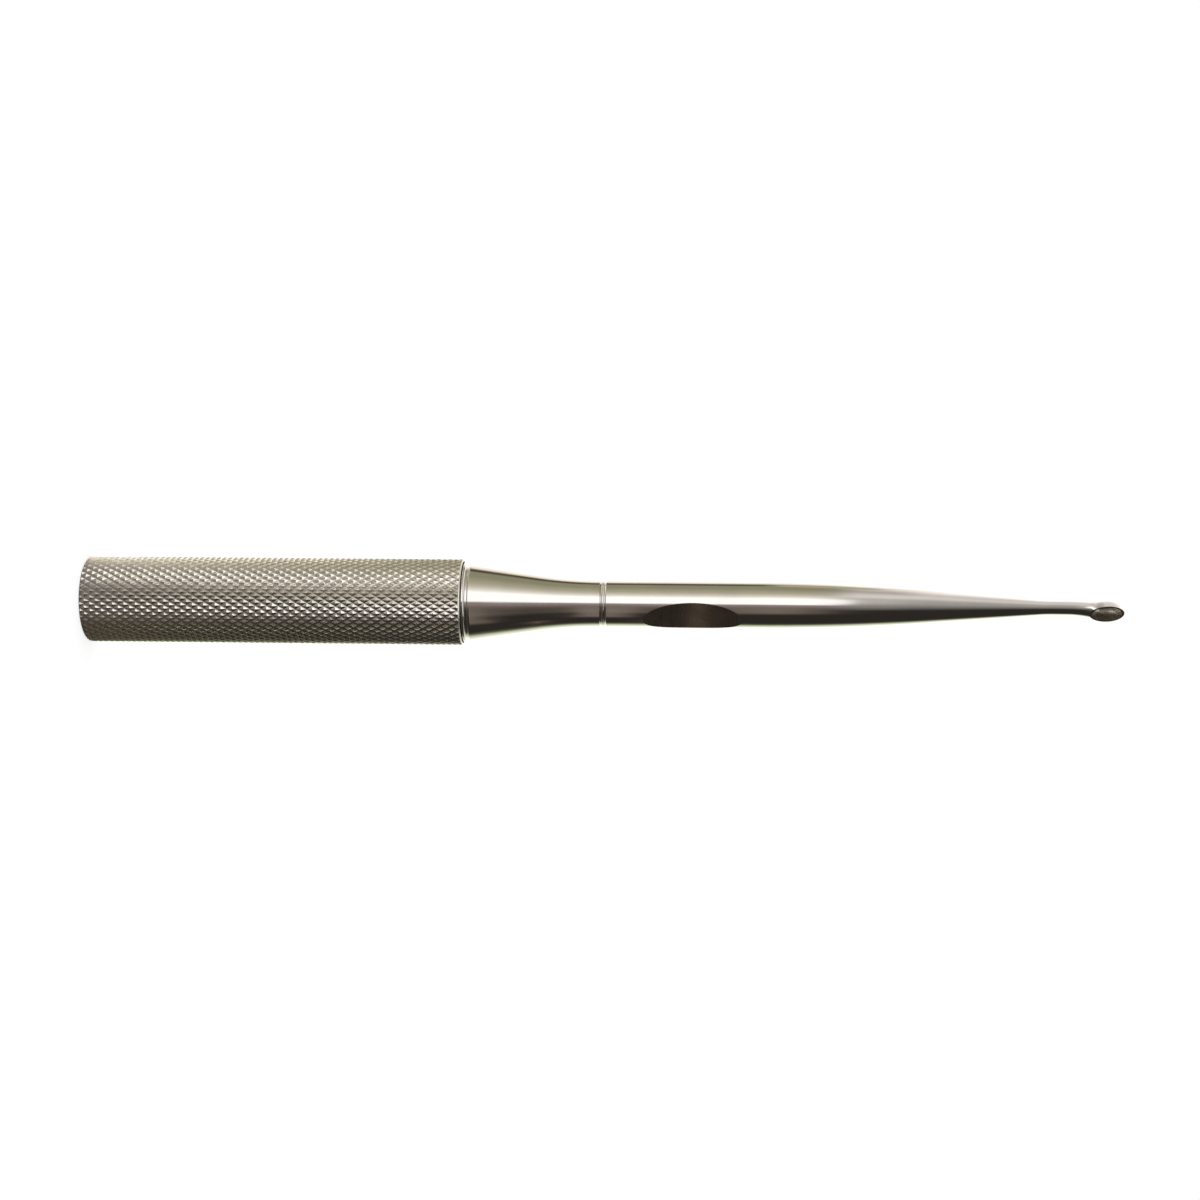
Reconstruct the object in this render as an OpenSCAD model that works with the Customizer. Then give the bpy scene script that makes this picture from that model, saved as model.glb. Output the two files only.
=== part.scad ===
// Spinal fusion curette: hollow knurled handle, turned nose, round tapering shaft and oval cup.
// It stands on the butt of its handle, with +Z along the shaft to the cup.
// The thumb rest and the mouth of the cup face -Y.

/* [Handle] */
// Length of the knurled tube
handle_len = 102.9; // [80:0.1:130]
// Diameter over the crests of the knurl
handle_d = 23.4; // [22.6:0.1:26]
// Wall of the tube, measured under the crests
tube_wall = 2.2; // [1.8:0.1:3.2]
// Height of the bevel at both ends of the tube
edge_bevel = 0.35; // [0.2:0.05:0.6]
// Depth of the knurl from crest to valley
knurl_depth = 0.38; // [0.2:0.02:0.6]
// Number of knurl ridges round the tube, of each hand
knurl_starts = 40; // [24:1:42]
// Number of diamonds along the tube
knurl_rows = 33; // [20:1:33]

/* [End cap] */
// Thickness of the disc that closes the butt
cap_thick = 3.0; // [2:0.1:6]

/* [Nose] */
// Length from the end of the tube to the shoulder of the shaft
nose_len = 38.4; // [37:0.1:60]
// Diameter of the nose where its cone starts
nose_d = 20.9; // [19:0.1:21.2]
// Diameter of the bead that seats on the end of the tube
bead_d = 21.9; // [21.4:0.1:22.4]
// Width of that bead
bead_w = 1.1; // [0.8:0.1:1.6]
// Diameter at the bottom of the groove behind the bead
groove_d = 20.2; // [18.4:0.1:20.4]
// Width of that groove
groove_w = 0.8; // [0.5:0.1:1.2]
// Radius of the hollow sweep into the shaft, as a share of the largest that fits the nose
sweep_share = 0.72; // [0.2:0.01:1]
// Length of the spigot inside the tube
spigot_len = 12; // [6:0.5:20]

/* [Shaft] */
// Diameter of the straight part of the shaft
shaft_d = 12.7; // [11:0.1:13.2]
// Length of the straight part, from the shoulder
shank_len = 39.7; // [38:0.1:60]
// Length of the taper, down to the neck
taper_len = 78.5; // [60:0.5:110]
// Radius of the long swell into the taper, as a share of the largest that fits the taper
swell_share = 0.836; // [0.2:0.001:1]
// Radius of the sweep from the taper into the neck
neck_sweep = 40; // [10:1:80]
// Diameter of the neck
neck_d = 3.9; // [3.4:0.1:4.6]
// Length of the neck, up to the rim of the cup
neck_len = 11.5; // [9:0.1:20]
// Length over which the end of the neck opens into the cup
flare_len = 6.0; // [3:0.1:7]
// Diameter of the tang inside the nose
tang_d = 8; // [5:0.1:8.6]
// Length of the tang
tang_len = 30; // [12:0.5:45]
// Width of each fine groove beside the ring at the joint
ring_groove_w = 0.5; // [0.3:0.05:0.6]
// Depth of those grooves
ring_groove_deep = 0.3; // [0.15:0.05:0.4]
// Width of the ring between the two grooves
ring_w = 0.8; // [0.6:0.1:1.2]

/* [Thumb rest] */
// Length of the hollow ground in the shaft
rest_len = 26.8; // [16:0.1:30]
// Depth of that hollow in the middle
rest_depth = 2.0; // [0.8:0.1:2.6]
// Distance from the shoulder of the shaft to the middle of the hollow
rest_mid = 23.7; // [18:0.1:24]

/* [Cup] */
// Length of the cup over its rim
cup_len = 9.0; // [8.6:0.1:12]
// Width of the cup over its rim
cup_width = 5.6; // [5.4:0.1:7]
// Depth of the cup outside, from the rim to its back
cup_depth = 4.3; // [4:0.1:5]
// Height of the rim above the axis of the shaft, in the middle of the cup
rim_height = 2.45; // [2.2:0.05:3]
// Lean of the rim away from the user, towards the tip
rim_lean = 2; // [0:0.5:12]
// Wall of the cup
cup_wall = 0.4; // [0.35:0.05:0.6]

/* [Fits] */
// Clearance round each brazed spigot, tang and cap
braze_gap = 0.05; // [0.02:0.01:0.1]

/* [Hidden] */
$fn = 96;

bore_d = handle_d - 2 * tube_wall;
shoulder_z = handle_len + nose_len;
taper_z = shoulder_z + shank_len;
neck_z = taper_z + taper_len;
rim_z = neck_z + neck_len;
cup_mid = rim_z + cup_len / 2;
// Depth below the rim at which the cup is widest
belly = cup_depth * 0.36;
// How much wider the cup is there than at its rim
belly_swell = 1.03;
// Where the round neck starts to open into the cup
flare_z = rim_z - flare_len;
// Half width and widest level of the opened neck at the rim
rim_half = neck_d / 2 * 1.15;
rim_mid = -neck_d / 2 * 0.42;
// What is ground off the rim to leave its flat edge
rim_land = 0.15;
arc_steps = 10;
past = 1;

// Points [radius, height] along an arc round [r, z], with angles from the radial direction
function arc_points(r, z, radius, start, end, steps) =
    [for (i = [0:steps])
        let (a = start + (end - start) * i / steps)
        [r + radius * cos(a), z + radius * sin(a)]];

function lerp(a, b, t) = a + (b - a) * t;
function ease(t) = let (u = min(1, max(0, t))) u * u * (3 - 2 * u);

// Knurled tube

knurl_low = edge_bevel;
knurl_high = handle_len - edge_bevel;
knurl_cols = 2 * knurl_starts;
knurl_lines = 2 * knurl_rows;
crest_r = handle_d / 2;
valley_r = crest_r - knurl_depth;
// The turned edge at each end of the knurl
edge_r = crest_r - knurl_depth / 2;

function on_end(line) = line == 0 || line == knurl_lines;
function knurl_r(col, line) =
    on_end(line) ? edge_r : (col + line) % 2 == 1 ? crest_r : valley_r;
function ring_point(r, col, z) =
    let (a = 360 * col / knurl_cols)
    [r * cos(a), r * sin(a), z];

// Rings of the blank from the butt up: bevelled face, knurl lines, bevelled face
function knurl_points() = concat(
    [for (c = [0:knurl_cols - 1]) ring_point(edge_r - edge_bevel, c, 0)],
    [for (line = [0:knurl_lines])
        for (c = [0:knurl_cols - 1])
            ring_point(knurl_r(c, line), c,
                       lerp(knurl_low, knurl_high, line / knurl_lines))],
    [for (c = [0:knurl_cols - 1]) ring_point(edge_r - edge_bevel, c, handle_len)]);

function ring_index(ring, col) = ring * knurl_cols + col % knurl_cols;

// Four corners of one cell, seen from outside: low left, low right, high right, high left
function cell(ring, col) = [
    ring_index(ring, col), ring_index(ring, col + 1),
    ring_index(ring + 1, col + 1), ring_index(ring + 1, col)];

// Each cell is folded along the valley that crosses it
function folded(q, rising) = rising
    ? [[q[2], q[1], q[0]], [q[3], q[2], q[0]]]
    : [[q[3], q[1], q[0]], [q[3], q[2], q[1]]];

function knurl_faces() = concat(
    [[for (c = [0:knurl_cols - 1]) ring_index(0, c)]],
    [for (c = [0:knurl_cols - 1])
        let (q = cell(0, c)) [q[3], q[2], q[1], q[0]]],
    [for (line = [0:knurl_lines - 1])
        for (c = [0:knurl_cols - 1])
            for (face = folded(cell(line + 1, c), (c + line) % 2 == 0)) face],
    [for (c = [0:knurl_cols - 1])
        let (q = cell(knurl_lines + 1, c)) [q[3], q[2], q[1], q[0]]],
    [[for (c = [knurl_cols - 1:-1:0]) ring_index(knurl_lines + 2, c)]]);

module handle_tube() {
    color("silver")
    difference() {
        polyhedron(knurl_points(), knurl_faces());
        translate([0, 0, -past])
            cylinder(d = bore_d, h = handle_len + 2 * past);
    }
}

// Disc brazed in the butt, flush with the end of the tube

module end_cap() {
    color("gainsboro")
    cylinder(d = bore_d - 2 * braze_gap, h = cap_thick);
}

// Turned nose with its bead, cone and sweep

sweep_run = shoulder_z - ring_groove_w - ring_w;
cone_z = handle_len + bead_w + groove_w;
cone_drop = (nose_d - shaft_d) / 2;
cone_run = sweep_run - cone_z;
nose_sweep = sweep_share * (cone_run * cone_run + cone_drop * cone_drop) / (2 * cone_drop);
cone_reach = norm([cone_run, nose_sweep - cone_drop]);
// Half angle of the cone that runs from the nose's edge tangent to the sweep
cone_angle = asin(nose_sweep / cone_reach) - atan((nose_sweep - cone_drop) / cone_run);

bead_round = bead_w / 2;
groove_round = 0.2;

module nose_outline() {
    polygon(concat(
        [[0, handle_len - spigot_len],
         [bore_d / 2 - braze_gap, handle_len - spigot_len],
         [bore_d / 2 - braze_gap, handle_len]],
        arc_points(bead_d / 2 - bead_round, handle_len + bead_round, bead_round, -90, 90, arc_steps),
        [[groove_d / 2, handle_len + bead_w + groove_round],
         [groove_d / 2, cone_z - groove_round],
         [nose_d / 2 - groove_round, cone_z],
         [nose_d / 2, cone_z + groove_round]],
        arc_points(shaft_d / 2 + nose_sweep, sweep_run, nose_sweep,
                   180 + cone_angle, 180, 2 * arc_steps),
        ring_points(sweep_run),
        [[0, shoulder_z]]));
}

// Half angle of the arc that the fine ring shows
ring_arc = 60;

// Fine groove and half-round ring that end the nose at the shoulder
function ring_points(z) = concat(
    [[shaft_d / 2 - ring_groove_deep, z + ring_groove_w / 2],
     [shaft_d / 2 - ring_groove_deep / 2, z + ring_groove_w]],
    arc_points(shaft_d / 2 - ring_w / 2, z + ring_groove_w + ring_w / 2, ring_w / 2,
               -ring_arc, ring_arc, 6),
    [[shaft_d / 2 - ring_groove_deep, shoulder_z]]);

module handle_nose() {
    color("lightgray")
    difference() {
        rotate_extrude() nose_outline();
        translate([0, 0, handle_len - spigot_len - past])
            cylinder(d = tang_d + 2 * braze_gap, h = spigot_len + nose_len + 2 * past);
    }
}

// Forged shaft: tang, straight shank with thumb rest, taper, neck and cup

taper_drop = (shaft_d - neck_d) / 2;
taper_swell = swell_share * (taper_len * taper_len + taper_drop * taper_drop) / (2 * taper_drop);
taper_reach = norm([taper_len, taper_swell - taper_drop]);
// Half angle of the straight taper that runs tangent from the swell to the neck
taper_angle = 90 - atan((taper_swell - taper_drop) / taper_len) - acos(taper_swell / taper_reach);
neck_blend = neck_sweep * tan(taper_angle / 2);

module shaft_outline() {
    polygon(concat(
        [[0, shoulder_z - tang_len],
         [tang_d / 2, shoulder_z - tang_len],
         [tang_d / 2, shoulder_z],
         [shaft_d / 2 - ring_groove_deep, shoulder_z],
         [shaft_d / 2, shoulder_z + ring_groove_w]],
        arc_points(shaft_d / 2 - taper_swell, taper_z, taper_swell, 0, taper_angle, 2 * arc_steps),
        arc_points(neck_d / 2 + neck_sweep, neck_z + neck_blend, neck_sweep,
                   180 + taper_angle, 180, arc_steps),
        [[neck_d / 2, flare_z], [0, flare_z]]));
}

// Radius of the wheel that grinds a hollow of this length and depth
wheel_r = (rest_len * rest_len / 4 + rest_depth * rest_depth) / (2 * rest_depth);

module thumb_rest_cut() {
    translate([0, -(shaft_d / 2 - rest_depth + wheel_r), shoulder_z + rest_mid])
        rotate([0, 90, 0])
            cylinder(r = wheel_r, h = shaft_d + 2 * past, center = true, $fn = 180);
}

// Front of the rim at a height along the shaft, with the front towards -Y
function rim_y(z) = (z - cup_mid) * tan(rim_lean) - rim_height;
// Share of its full size that an oval of this half length has at a height
function oval(z, half) = sqrt(max(0, 1 - pow((z - cup_mid) / half, 2)));
// Share of the neck's opening, gentle at first, and share of the way from the rim to the middle
function flare(z) = pow(max(0, z - flare_z) / flare_len, 2);
function swell(z) = ease((z - rim_z) / (cup_mid - rim_z));

// Widest level, half width, back and front of the outer skin at a height
function bowl_mid(z) = rim_y(z) + belly * oval(z, cup_len / 2);
function bowl_half(z) = belly_swell * cup_width / 2 * oval(z, cup_len / 2);
function skin_mid(z) = z >= cup_mid ? bowl_mid(z)
    : z > rim_z ? lerp(rim_mid, bowl_mid(z), swell(z))
    : lerp(0, rim_mid, flare(z));
function skin_half(z) = z >= cup_mid ? bowl_half(z)
    : z > rim_z ? pow(pow(rim_half * (1 - swell(z)), 3) + pow(bowl_half(z), 3), 1 / 3)
    : lerp(neck_d / 2, rim_half, flare(z));
function skin_back(z) = z >= cup_mid
    ? (cup_depth - belly) * oval(z, cup_len / 2)
    : lerp(neck_d / 2, cup_depth - rim_height, swell(z)) - skin_mid(z);
function skin_front(z) = z > rim_z
    ? (skin_mid(z) - rim_y(z))
        / sqrt(1 - pow(cup_width / 2 * oval(z, cup_len / 2) / skin_half(z), 2))
    : lerp(neck_d / 2, rim_mid - rim_y(rim_z), flare(z));

// One ring of the skin, with its half width, back and front
function section(z, mid, half, back, front, sides) =
    [for (i = [0:sides - 1])
        let (a = 360 * i / sides)
        [half * cos(a), mid + (sin(a) > 0 ? back : front) * sin(a), z]];

// Skin through rings of points, closed by the first ring at one end and a point at the other
module loft(rings, tip) {
    sides = len(rings[0]);
    last = len(rings) - 1;
    points = concat([for (ring = rings) each ring], [tip]);
    faces = concat(
        [[for (i = [0:sides - 1]) i]],
        [for (r = [0:last - 1])
            for (i = [0:sides - 1])
                let (a = r * sides + i,
                     b = r * sides + (i + 1) % sides)
                each [[a + sides, b, a], [a + sides, b + sides, b]]],
        [for (i = [0:sides - 1])
            [len(points) - 1, last * sides + (i + 1) % sides, last * sides + i]]);
    polyhedron(points, faces);
}

skin_sides = 28;
neck_rings = 5;
root_rings = 6;
tip_rings = 7;
bowl_sides = 24;
bowl_rings = 11;

// Heights of the rings: along the neck's opening, up the cup and closer to the tip
skin_heights = concat(
    [for (i = [0:neck_rings - 1]) lerp(flare_z, rim_z, i / neck_rings)],
    [for (i = [0:root_rings - 1]) lerp(rim_z, cup_mid, i / root_rings)],
    [for (i = [0:tip_rings - 1]) cup_mid + cup_len / 2 * sin(90 * i / tip_rings)]);

module cup_skin() {
    loft([for (z = skin_heights)
             section(z, skin_mid(z), skin_half(z), skin_back(z), skin_front(z), skin_sides)],
         [0, rim_y(cup_mid + cup_len / 2), cup_mid + cup_len / 2]);
}

bowl_half_len = cup_len / 2 - cup_wall;
bowl_half_width = cup_width / 2 - cup_wall;
bowl_deep = cup_depth - cup_wall;
// The hollow runs on this many times the depth of its widest level past the rim
bowl_run_out = 5;

module cup_bowl() {
    start = 90 / bowl_rings;
    heights = [for (i = [0:bowl_rings - 1])
        cup_mid + bowl_half_len * sin(lerp(-90 + start, 90 - start, i / (bowl_rings - 1)))];
    loft([for (z = heights)
             let (share = oval(z, bowl_half_len))
             section(z, rim_y(z) + belly * share, bowl_half_width * share,
                     (bowl_deep - belly) * share, bowl_run_out * belly * share, bowl_sides)],
         [0, rim_y(cup_mid + bowl_half_len), cup_mid + bowl_half_len]);
}

module rim_cut() {
    translate([0, -rim_height + rim_land, cup_mid])
        rotate([-rim_lean, 0, 0])
            translate([-cup_width, -4 * cup_depth, -cup_len])
                cube([2 * cup_width, 4 * cup_depth, 2 * cup_len]);
}

module curette_shaft() {
    color("darkgray")
    difference() {
        rotate_extrude() shaft_outline();
        thumb_rest_cut();
    }
}

// The cup is drawn out of the same forging. It is a node of its own that meets the neck
// face to face, so that its hollow stays open to what it scoops.
module curette_cup() {
    color("darkgray")
    difference() {
        cup_skin();
        cup_bowl();
        rim_cut();
    }
}

handle_tube();
end_cap();
handle_nose();
curette_shaft();
curette_cup();
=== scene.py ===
"""Looks of a spinal fusion curette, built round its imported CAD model.

The instrument stands on the butt of its handle, with +Z along the shaft to the cup.
The thumb rest and the mouth of the cup face -Y. All sizes are in metres.
"""

import math

import bmesh
import bpy
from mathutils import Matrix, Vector


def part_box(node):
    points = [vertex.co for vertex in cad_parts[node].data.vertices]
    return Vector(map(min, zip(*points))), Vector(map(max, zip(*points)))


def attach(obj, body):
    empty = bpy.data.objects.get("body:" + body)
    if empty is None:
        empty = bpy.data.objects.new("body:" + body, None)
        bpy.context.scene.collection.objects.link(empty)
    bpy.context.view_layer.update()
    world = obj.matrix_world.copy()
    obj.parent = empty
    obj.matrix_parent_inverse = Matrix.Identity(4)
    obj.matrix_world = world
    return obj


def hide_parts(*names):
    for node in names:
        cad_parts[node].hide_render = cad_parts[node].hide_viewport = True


bl_info = {
    "name": "Spinal Fusion Curette",
    "version": (1, 0, 0),
    "blender": (4, 5, 0),
    "location": "3D View > Sidebar > Curette",
    "description": "Models and finishes a spinal fusion curette round its CAD frame",
    "category": "Object",
}

MM = 0.001
# Points closer than this are one point, and points this close to a height lie on it
WELD = 1e-7
NEAR = 1e-6
# Nought for a measure that has only rounding in it
NOUGHT = 1e-9
# Faces round the faced ends of the tube, and round the turned and forged pieces
FACED_SIDES = 160
TURNED_SIDES = 192

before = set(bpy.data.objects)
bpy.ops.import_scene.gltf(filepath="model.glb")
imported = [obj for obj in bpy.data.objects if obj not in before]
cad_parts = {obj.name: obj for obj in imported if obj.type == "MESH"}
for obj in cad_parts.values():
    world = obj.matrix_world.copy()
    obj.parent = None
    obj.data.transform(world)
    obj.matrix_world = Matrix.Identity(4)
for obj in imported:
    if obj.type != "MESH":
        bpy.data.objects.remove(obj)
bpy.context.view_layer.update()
TUBE_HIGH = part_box("handle_tube")[1]
CAP_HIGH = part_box("end_cap")[1]
NOSE_LOW, NOSE_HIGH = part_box("handle_nose")
SHAFT_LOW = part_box("curette_shaft")[0]
CUP_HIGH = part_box("curette_cup")[1]


# Properties that a user would change

def length(name, description, default):
    """A size in metres with its name and description."""
    return bpy.props.FloatProperty(name=name, description=description, default=default,
                                   subtype="DISTANCE", unit="LENGTH", precision=5)


def colour(name, description, default):
    """A surface colour with its name and description."""
    return bpy.props.FloatVectorProperty(name=name, description=description, default=default,
                                         subtype="COLOR", size=3, min=0.0, max=1.0)


def amount(name, description, default):
    """A plain share from nought to one."""
    return bpy.props.FloatProperty(name=name, description=description, default=default,
                                   subtype="FACTOR", min=0.0, max=1.0)


class HandleSizes(bpy.types.PropertyGroup):
    """Sizes and finish of the knurled tube and its end cap."""

    tube_len: length("Tube length", "Length of the knurled tube", TUBE_HIGH.z)
    crest_r: length("Crest radius", "Radius over the crests of the knurl", TUBE_HIGH.x)
    bore_r: length("Bore radius", "Radius of the bore of the tube", 9.5 * MM)
    knurl_deep: length("Knurl depth", "Depth of the knurl from crest to valley", 0.38 * MM)
    bevel: length("End bevel", "Turned bevel at both ends of the tube", 0.35 * MM)
    starts: bpy.props.IntProperty(
        name="Knurl starts", description="Ridges round the tube, of each hand", default=40)
    rows: bpy.props.IntProperty(
        name="Knurl rows", description="Diamonds along the tube", default=33)
    cap_r: length("Cap radius", "Radius of the disc in the butt", CAP_HIGH.x)
    cap_thick: length("Cap thickness", "Thickness of the disc in the butt", CAP_HIGH.z)
    crest_colour: colour("Crest colour", "Bare steel on the crests", (0.82, 0.79, 0.74))
    # Painted shade: the valley colour is the steel drawn darker where the knurl's valleys lie in
    # shade.
    valley_shade_colour: colour("Valley colour", "Dull steel in the valleys", (0.5, 0.47, 0.42))
    roughness: amount("Roughness", "Roughness of the knurled steel", 0.2)


class NoseSizes(bpy.types.PropertyGroup):
    """Sizes and finish of the turned nose."""

    spigot_z: length("Spigot", "Height at which the spigot starts", NOSE_LOW.z)
    shoulder_z: length("Shoulder", "Height of the shoulder that the shaft stands on", NOSE_HIGH.z)
    bead_r: length("Bead radius", "Radius of the bead that seats on the tube", 10.95 * MM)
    bead_w: length("Bead width", "Width of that bead", 1.1 * MM)
    groove_r: length("Groove radius", "Radius at the bottom of the groove", 10.1 * MM)
    groove_w: length("Groove width", "Width of the groove behind the bead", 0.8 * MM)
    nose_r: length("Nose radius", "Radius where the cone starts", 10.45 * MM)
    sweep_share: amount("Sweep", "Radius of the sweep, as a share of the largest that fits", 0.72)
    ring_w: length("Ring width", "Width of the fine ring at the shoulder", 0.8 * MM)
    ring_groove_w: length("Ring groove width", "Width of the groove on each side", 0.5 * MM)
    ring_groove_deep: length("Ring groove depth", "Depth of those grooves", 0.3 * MM)
    tang_r: length("Tang hole radius", "Radius of the hole for the tang", 4.05 * MM)
    steel_colour: colour("Steel colour", "Polished stainless steel", (0.72, 0.7, 0.67))
    roughness: amount("Roughness", "Roughness of the polish", 0.09)


class ShaftSizes(bpy.types.PropertyGroup):
    """Sizes and finish of the forged shaft with its thumb rest and cup."""

    tang_z: length("Tang", "Height at which the tang starts", SHAFT_LOW.z)
    tang_r: length("Tang radius", "Radius of the tang", 4.0 * MM)
    shaft_r: length("Shaft radius", "Radius of the straight part", 6.35 * MM)
    taper_z: length("Taper", "Height at which the taper starts", 181.0 * MM)
    neck_z: length("Neck", "Height at which the taper ends", 259.5 * MM)
    swell_share: amount("Swell", "Radius of the swell, as a share of the largest that fits", 0.836)
    neck_sweep: length("Neck sweep", "Radius of the sweep into the neck", 40 * MM)
    neck_r: length("Neck radius", "Radius of the neck", 1.95 * MM)
    rest_len: length("Thumb rest length", "Length of the hollow for the thumb", 26.8 * MM)
    rest_deep: length("Thumb rest depth", "Depth of that hollow", 2.0 * MM)
    rest_z: length("Thumb rest middle", "Height of the middle of the hollow", 165.0 * MM)
    cup_len: length("Cup length", "Length of the cup over its rim", 9.0 * MM)
    cup_width: length("Cup width", "Width of the cup over its rim", 5.6 * MM)
    cup_deep: length("Cup depth", "Depth of the cup from its rim to its back", 4.3 * MM)
    rim_high: length("Rim height", "Height of the rim above the axis", 2.45 * MM)
    rim_land: length("Rim land", "What is ground off the rim", 0.15 * MM)
    cup_wall: length("Cup wall", "Wall of the cup", 0.4 * MM)
    rim_lean: bpy.props.FloatProperty(
        name="Rim lean", description="Lean of the rim towards the tip",
        default=math.radians(2), subtype="ANGLE", unit="ROTATION")
    ground_colour: colour("Ground colour", "Steel of the ground thumb rest", (0.56, 0.5, 0.44))
    ground_roughness: amount("Ground roughness", "Roughness of the ground steel", 0.24)
    bowl_colour: colour("Bowl colour", "Steel inside the cup", (0.78, 0.74, 0.65))
    bowl_roughness: amount("Bowl roughness", "Roughness inside the cup", 0.28)


class StageLook(bpy.types.PropertyGroup):
    """Camera, floor, backdrop and the light tent that the steel reflects."""

    view_azimuth: bpy.props.FloatProperty(
        name="View azimuth", description="Side from which the camera looks",
        default=math.radians(-43.5), subtype="ANGLE", unit="ROTATION")
    view_yaw: bpy.props.FloatProperty(
        name="View yaw", description="Turn of the camera towards the cup",
        default=math.radians(3.0), subtype="ANGLE", unit="ROTATION")
    view_roll: bpy.props.FloatProperty(
        name="View roll", description="Roll of the camera about its own axis",
        default=math.radians(0.54), subtype="ANGLE", unit="ROTATION")
    distance: length("Distance", "Distance from the camera to the shaft", 568.7 * MM)
    lift: length("Lift", "Height of the aim above the axis in the picture", 0.92 * MM)
    middle_z: length("Middle", "Height that the camera aims at", 139.9 * MM)
    tent_r: length("Tent radius", "Radius of the light tent round the object", 200 * MM)
    tent_high: length("Tent height", "Height of the light tent", 600 * MM)
    tent_level: bpy.props.FloatProperty(
        name="Tent level", description="Strength of the tent's brightest cloth", default=1.7)
    mat_rise: length("Mat rise", "Height of the mat over the floor", 0.02 * MM)
    floor_size: length("Floor size", "Side of the floor", 6.0)
    floor_shine: amount("Floor shine", "Share of the floor's white that no shadow takes", 0.62)


# Plain steps of modelling, each done with Blender's own operators

def put_down_all():
    """Leave edit mode with nothing selected."""
    if bpy.context.object and bpy.context.object.mode != "OBJECT":
        bpy.ops.object.mode_set(mode="OBJECT")
    bpy.ops.object.select_all(action="DESELECT")


def pick(obj):
    """Make one object the only selected one."""
    put_down_all()
    obj.select_set(True)
    bpy.context.view_layer.objects.active = obj


def open_mesh(obj):
    """Go into edit mode on one object, with vertices picked and nothing selected."""
    pick(obj)
    bpy.ops.object.mode_set(mode="EDIT")
    bpy.ops.mesh.select_mode(type="VERT")
    bpy.ops.mesh.select_all(action="DESELECT")


def select_points(obj, test):
    """Select the points in edit mode whose place passes a test."""
    mesh = bmesh.from_edit_mesh(obj.data)
    for vert in mesh.verts:
        vert.select = test(vert.co)
    mesh.select_flush_mode()
    bmesh.update_edit_mesh(obj.data)


def close_mesh(obj):
    """Weld doubles, turn the faces outwards and leave edit mode."""
    bpy.ops.mesh.select_mode(type="VERT")
    bpy.ops.mesh.select_all(action="SELECT")
    bpy.ops.mesh.remove_doubles(threshold=WELD)
    bpy.ops.mesh.normals_make_consistent(inside=False)
    bpy.ops.mesh.select_all(action="DESELECT")
    bpy.ops.object.mode_set(mode="OBJECT")


def settle(name):
    """Name the new primitive and work its place into its mesh."""
    obj = bpy.context.object
    obj.name = name
    bpy.ops.object.transform_apply(location=True, rotation=True, scale=True)
    return obj


def arc(r, z, radius, start, end, steps):
    """Points along an arc round a centre, with angles from the radial direction."""
    points = []
    for i in range(steps + 1):
        angle = start + (end - start) * i / steps
        points.append((r + radius * math.cos(angle), z + radius * math.sin(angle)))
    return points


def turn(name, outline, sides):
    """Turn an outline of radius and height once round the Z axis."""
    put_down_all()
    bpy.ops.mesh.primitive_plane_add(size=MM, location=(0, 0, 0))
    obj = bpy.context.object
    obj.name = name
    bpy.ops.object.mode_set(mode="EDIT")
    bpy.ops.mesh.select_mode(type="VERT")
    bpy.ops.mesh.select_all(action="SELECT")
    bpy.ops.mesh.merge(type="CENTER")
    last_r, last_z = outline[0]
    bpy.ops.transform.translate(value=(last_r, 0, last_z))
    for r, z in outline[1:]:
        bpy.ops.mesh.extrude_vertices_move(
            TRANSFORM_OT_translate={"value": (r - last_r, 0, z - last_z)})
        last_r, last_z = r, z
    bpy.ops.mesh.select_all(action="SELECT")
    bpy.ops.mesh.spin(steps=sides, angle=math.tau, center=(0, 0, 0), axis=(0, 0, 1))
    bpy.ops.mesh.select_all(action="SELECT")
    bpy.ops.mesh.remove_doubles(threshold=WELD)
    return obj


def smooth(obj, degrees):
    """Smooth the faces that meet at less than an angle."""
    pick(obj)
    bpy.ops.object.shade_smooth_by_angle(angle=math.radians(degrees))


def apply_all(obj):
    """Apply every modifier of an object, in order."""
    pick(obj)
    for modifier in list(obj.modifiers):
        bpy.ops.object.modifier_apply(modifier=modifier.name)


def cut(obj, cutter):
    """Cut one closed shape out of another; the cut faces take the cutter's material."""
    modifier = obj.modifiers.new("cut", "BOOLEAN")
    modifier.operation = "DIFFERENCE"
    modifier.solver = "EXACT"
    modifier.object = cutter
    modifier.material_mode = "TRANSFER"
    apply_all(obj)
    bpy.data.objects.remove(cutter)


def lerp(a, b, share):
    """The value a share of the way from one to another."""
    return a + (b - a) * share


def ease(share):
    """A share that starts and ends gently."""
    held = min(1.0, max(0.0, share))
    return held * held * (3 - 2 * held)


def ring_step(obj, last, this):
    """Extrude the selected ring and reshape it: height, middle, half width, back and front."""
    z, mid, half, back, front = this
    old_z, old_mid, old_half, old_back, old_front = last
    bpy.ops.mesh.extrude_region_move(
        TRANSFORM_OT_translate={"value": (0, mid - old_mid, z - old_z)})
    centre = (0, mid, z)
    bpy.ops.transform.resize(value=(half / old_half, 1, 1), center_override=centre)
    select_points(obj, lambda co: abs(co.z - z) < NEAR and co.y > mid)
    bpy.ops.transform.resize(value=(1, back / old_back, 1), center_override=centre)
    select_points(obj, lambda co: abs(co.z - z) < NEAR and co.y < mid)
    bpy.ops.transform.resize(value=(1, front / old_front, 1), center_override=centre)
    select_points(obj, lambda co: abs(co.z - z) < NEAR)


# Shader nodes

def math_node(tree, operation, first, second=None):
    """One Math node on one or two values or sockets."""
    node = tree.nodes.new("ShaderNodeMath")
    node.operation = operation
    for socket, value in zip(node.inputs, (first, second)):
        if isinstance(value, bpy.types.NodeSocket):
            tree.links.new(value, socket)
        elif value is not None:
            socket.default_value = value
    return node.outputs["Value"]


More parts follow.
